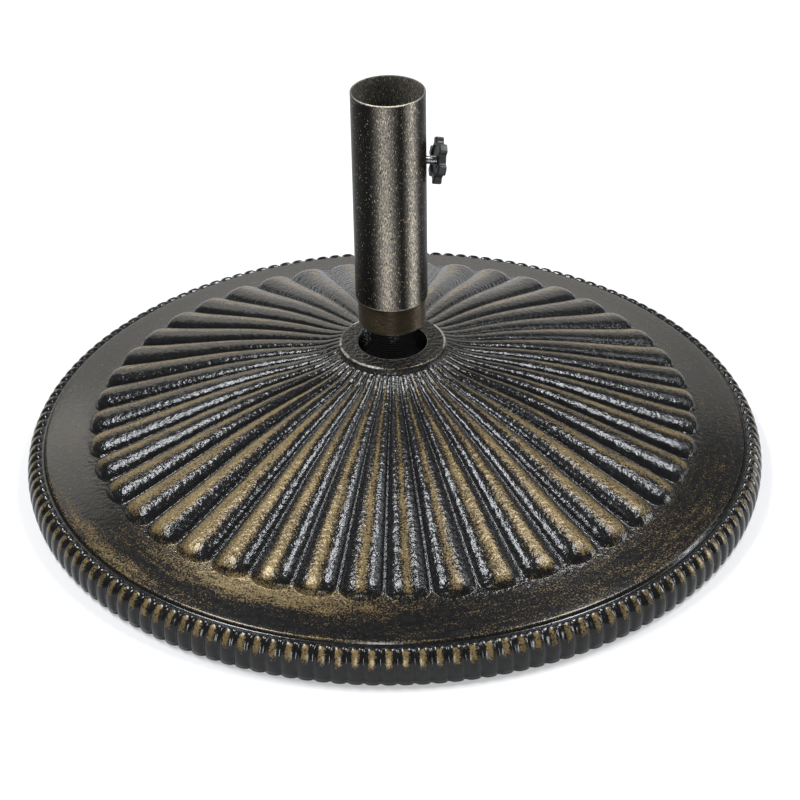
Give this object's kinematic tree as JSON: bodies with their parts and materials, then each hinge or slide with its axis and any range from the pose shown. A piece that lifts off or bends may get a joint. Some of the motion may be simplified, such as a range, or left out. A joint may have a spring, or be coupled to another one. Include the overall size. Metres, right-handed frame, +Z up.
{
  "type": "parasol base",
  "caption": "Round cast-iron parasol base with a fluted dome, a beaded rim and a screw-in clamp tube with a star knob.",
  "frame": {"origin": "on the floor at the tube's axis, at the centre of the base", "axes": "+Z up along the tube; +X to the side where the clamp knob is"},
  "size_m": [0.5334, 0.5334, 0.29],
  "materials": {
    "cast_iron": "charcoal paint with dry-brushed antique gold on the raised edges",
    "tube_paint": "glossy black-brown paint with fine gold flecks",
    "dark_steel": "dark bronze, semi-gloss",
    "zinc": "bright zinc plate",
    "knob_plastic": "matt black moulded plastic",
    "pad_rubber": "matt black rubber"
  },
  "bodies": {
    "base": {"base_casting": "cast_iron", "foot_pad_front_left": "pad_rubber", "foot_pad_front_right": "pad_rubber", "foot_pad_rear_left": "pad_rubber", "foot_pad_rear_right": "pad_rubber"},
    "spigot_slide": {"threaded_spigot": "dark_steel"},
    "stem": {"stem_tube": "tube_paint", "weld_nut": "dark_steel"},
    "screw_slide": {"clamp_screw": "zinc"},
    "knob_turning": {"knob": "knob_plastic"}
  },
  "joints": [
    {"name": "stem_travel", "type": "slide", "parent": "base", "child": "spigot_slide", "axis": [0, 0, 1], "range_m": [-0.0385, 0]},
    {"name": "stem_turn", "type": "hinge", "parent": "spigot_slide", "child": "stem", "pos_m": [0, 0, 0.21], "axis": [0, 0, 1], "range_deg": [-9240, 0]},
    {"name": "screw_travel", "type": "slide", "parent": "stem", "child": "screw_slide", "axis": [0.9848, 0, -0.1736], "range_m": [-0.0025, 0.0032]},
    {"name": "knob_turn", "type": "hinge", "parent": "screw_slide", "child": "knob_turning", "pos_m": [0.03377, 0, 0.23492], "axis": [0.9848, 0, -0.1736], "range_deg": [-900, 1152]}
  ],
  "couplings": [
    {"joint": "stem_travel", "follows": "stem_turn", "m_per_rad": 0.00023873},
    {"joint": "knob_turn", "follows": "screw_travel", "rad_per_m": 6283.2}
  ]
}
